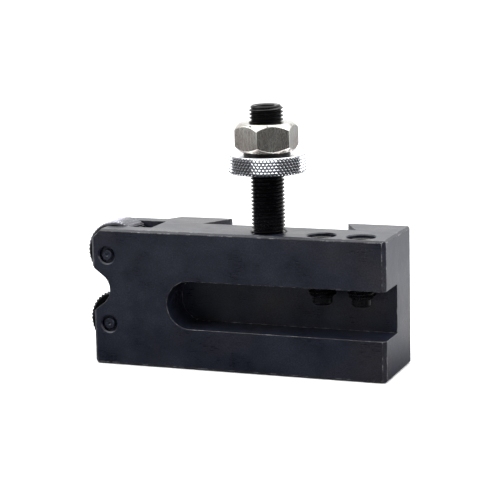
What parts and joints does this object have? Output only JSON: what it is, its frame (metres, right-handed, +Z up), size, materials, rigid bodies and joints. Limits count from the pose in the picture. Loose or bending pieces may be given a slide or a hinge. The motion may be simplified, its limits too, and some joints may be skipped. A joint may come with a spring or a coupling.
{
  "type": "knurling tool holder",
  "caption": "Dovetailed lathe tool holder with a tool slot and clamp screws, a forked end carrying knurl wheels on pins, and a threaded height stud with a knurled nut and a lock nut.",
  "frame": {"origin": "centre of the dovetail, in the plane of the rear flange faces, at the base", "axes": "+X along the body towards the open end of the tool slot, +Y out of the rear flange faces towards the tool post, +Z up along the height stud"},
  "size_m": [0.0917, 0.0292, 0.0753],
  "materials": {
    "black_oxide_body": "black oxide over ground steel",
    "black_oxide_thread": "black oxide, slightly oily",
    "bright_plate": "bright zinc plate",
    "nickel_steel": "satin nickel",
    "tool_steel": "hardened tool steel"
  },
  "bodies": {
    "holder": {"holder_body": "black_oxide_body", "height_stud": "black_oxide_thread", "knurl_pin_upper": "black_oxide_thread", "knurl_pin_lower": "black_oxide_thread"},
    "thumb_nut": {"thumb_nut": "bright_plate"},
    "lock_nut": {"lock_nut": "nickel_steel"},
    "clamp_screw_inner": {"clamp_screw_inner": "black_oxide_thread"},
    "clamp_screw_outer": {"clamp_screw_outer": "black_oxide_thread"},
    "knurl_wheel_upper": {"knurl_wheel_upper": "tool_steel"},
    "knurl_wheel_lower": {"knurl_wheel_lower": "tool_steel"}
  },
  "joints": [
    {"name": "thumb_nut_travel", "type": "slide", "parent": "holder", "child": "thumb_nut", "axis": [0, 0, 1], "range_m": [-0.0166, 0]},
    {"name": "lock_nut_travel", "type": "slide", "parent": "holder", "child": "lock_nut", "axis": [0, 0, 1], "range_m": [0, 0.004]},
    {"name": "clamp_screw_inner_travel", "type": "slide", "parent": "holder", "child": "clamp_screw_inner", "axis": [0, 0, 1], "range_m": [-0.0084, 0.0052]},
    {"name": "clamp_screw_outer_travel", "type": "slide", "parent": "holder", "child": "clamp_screw_outer", "axis": [0, 0, 1], "range_m": [-0.0084, 0.0052]},
    {"name": "knurl_wheel_upper_spin", "type": "hinge", "parent": "holder", "child": "knurl_wheel_upper", "pos_m": [-0.047, -0.0148, 0.0321], "axis": [0, 1, 0], "continuous": true},
    {"name": "knurl_wheel_lower_spin", "type": "hinge", "parent": "holder", "child": "knurl_wheel_lower", "pos_m": [-0.047, -0.0148, 0.012], "axis": [0, 1, 0], "continuous": true}
  ]
}
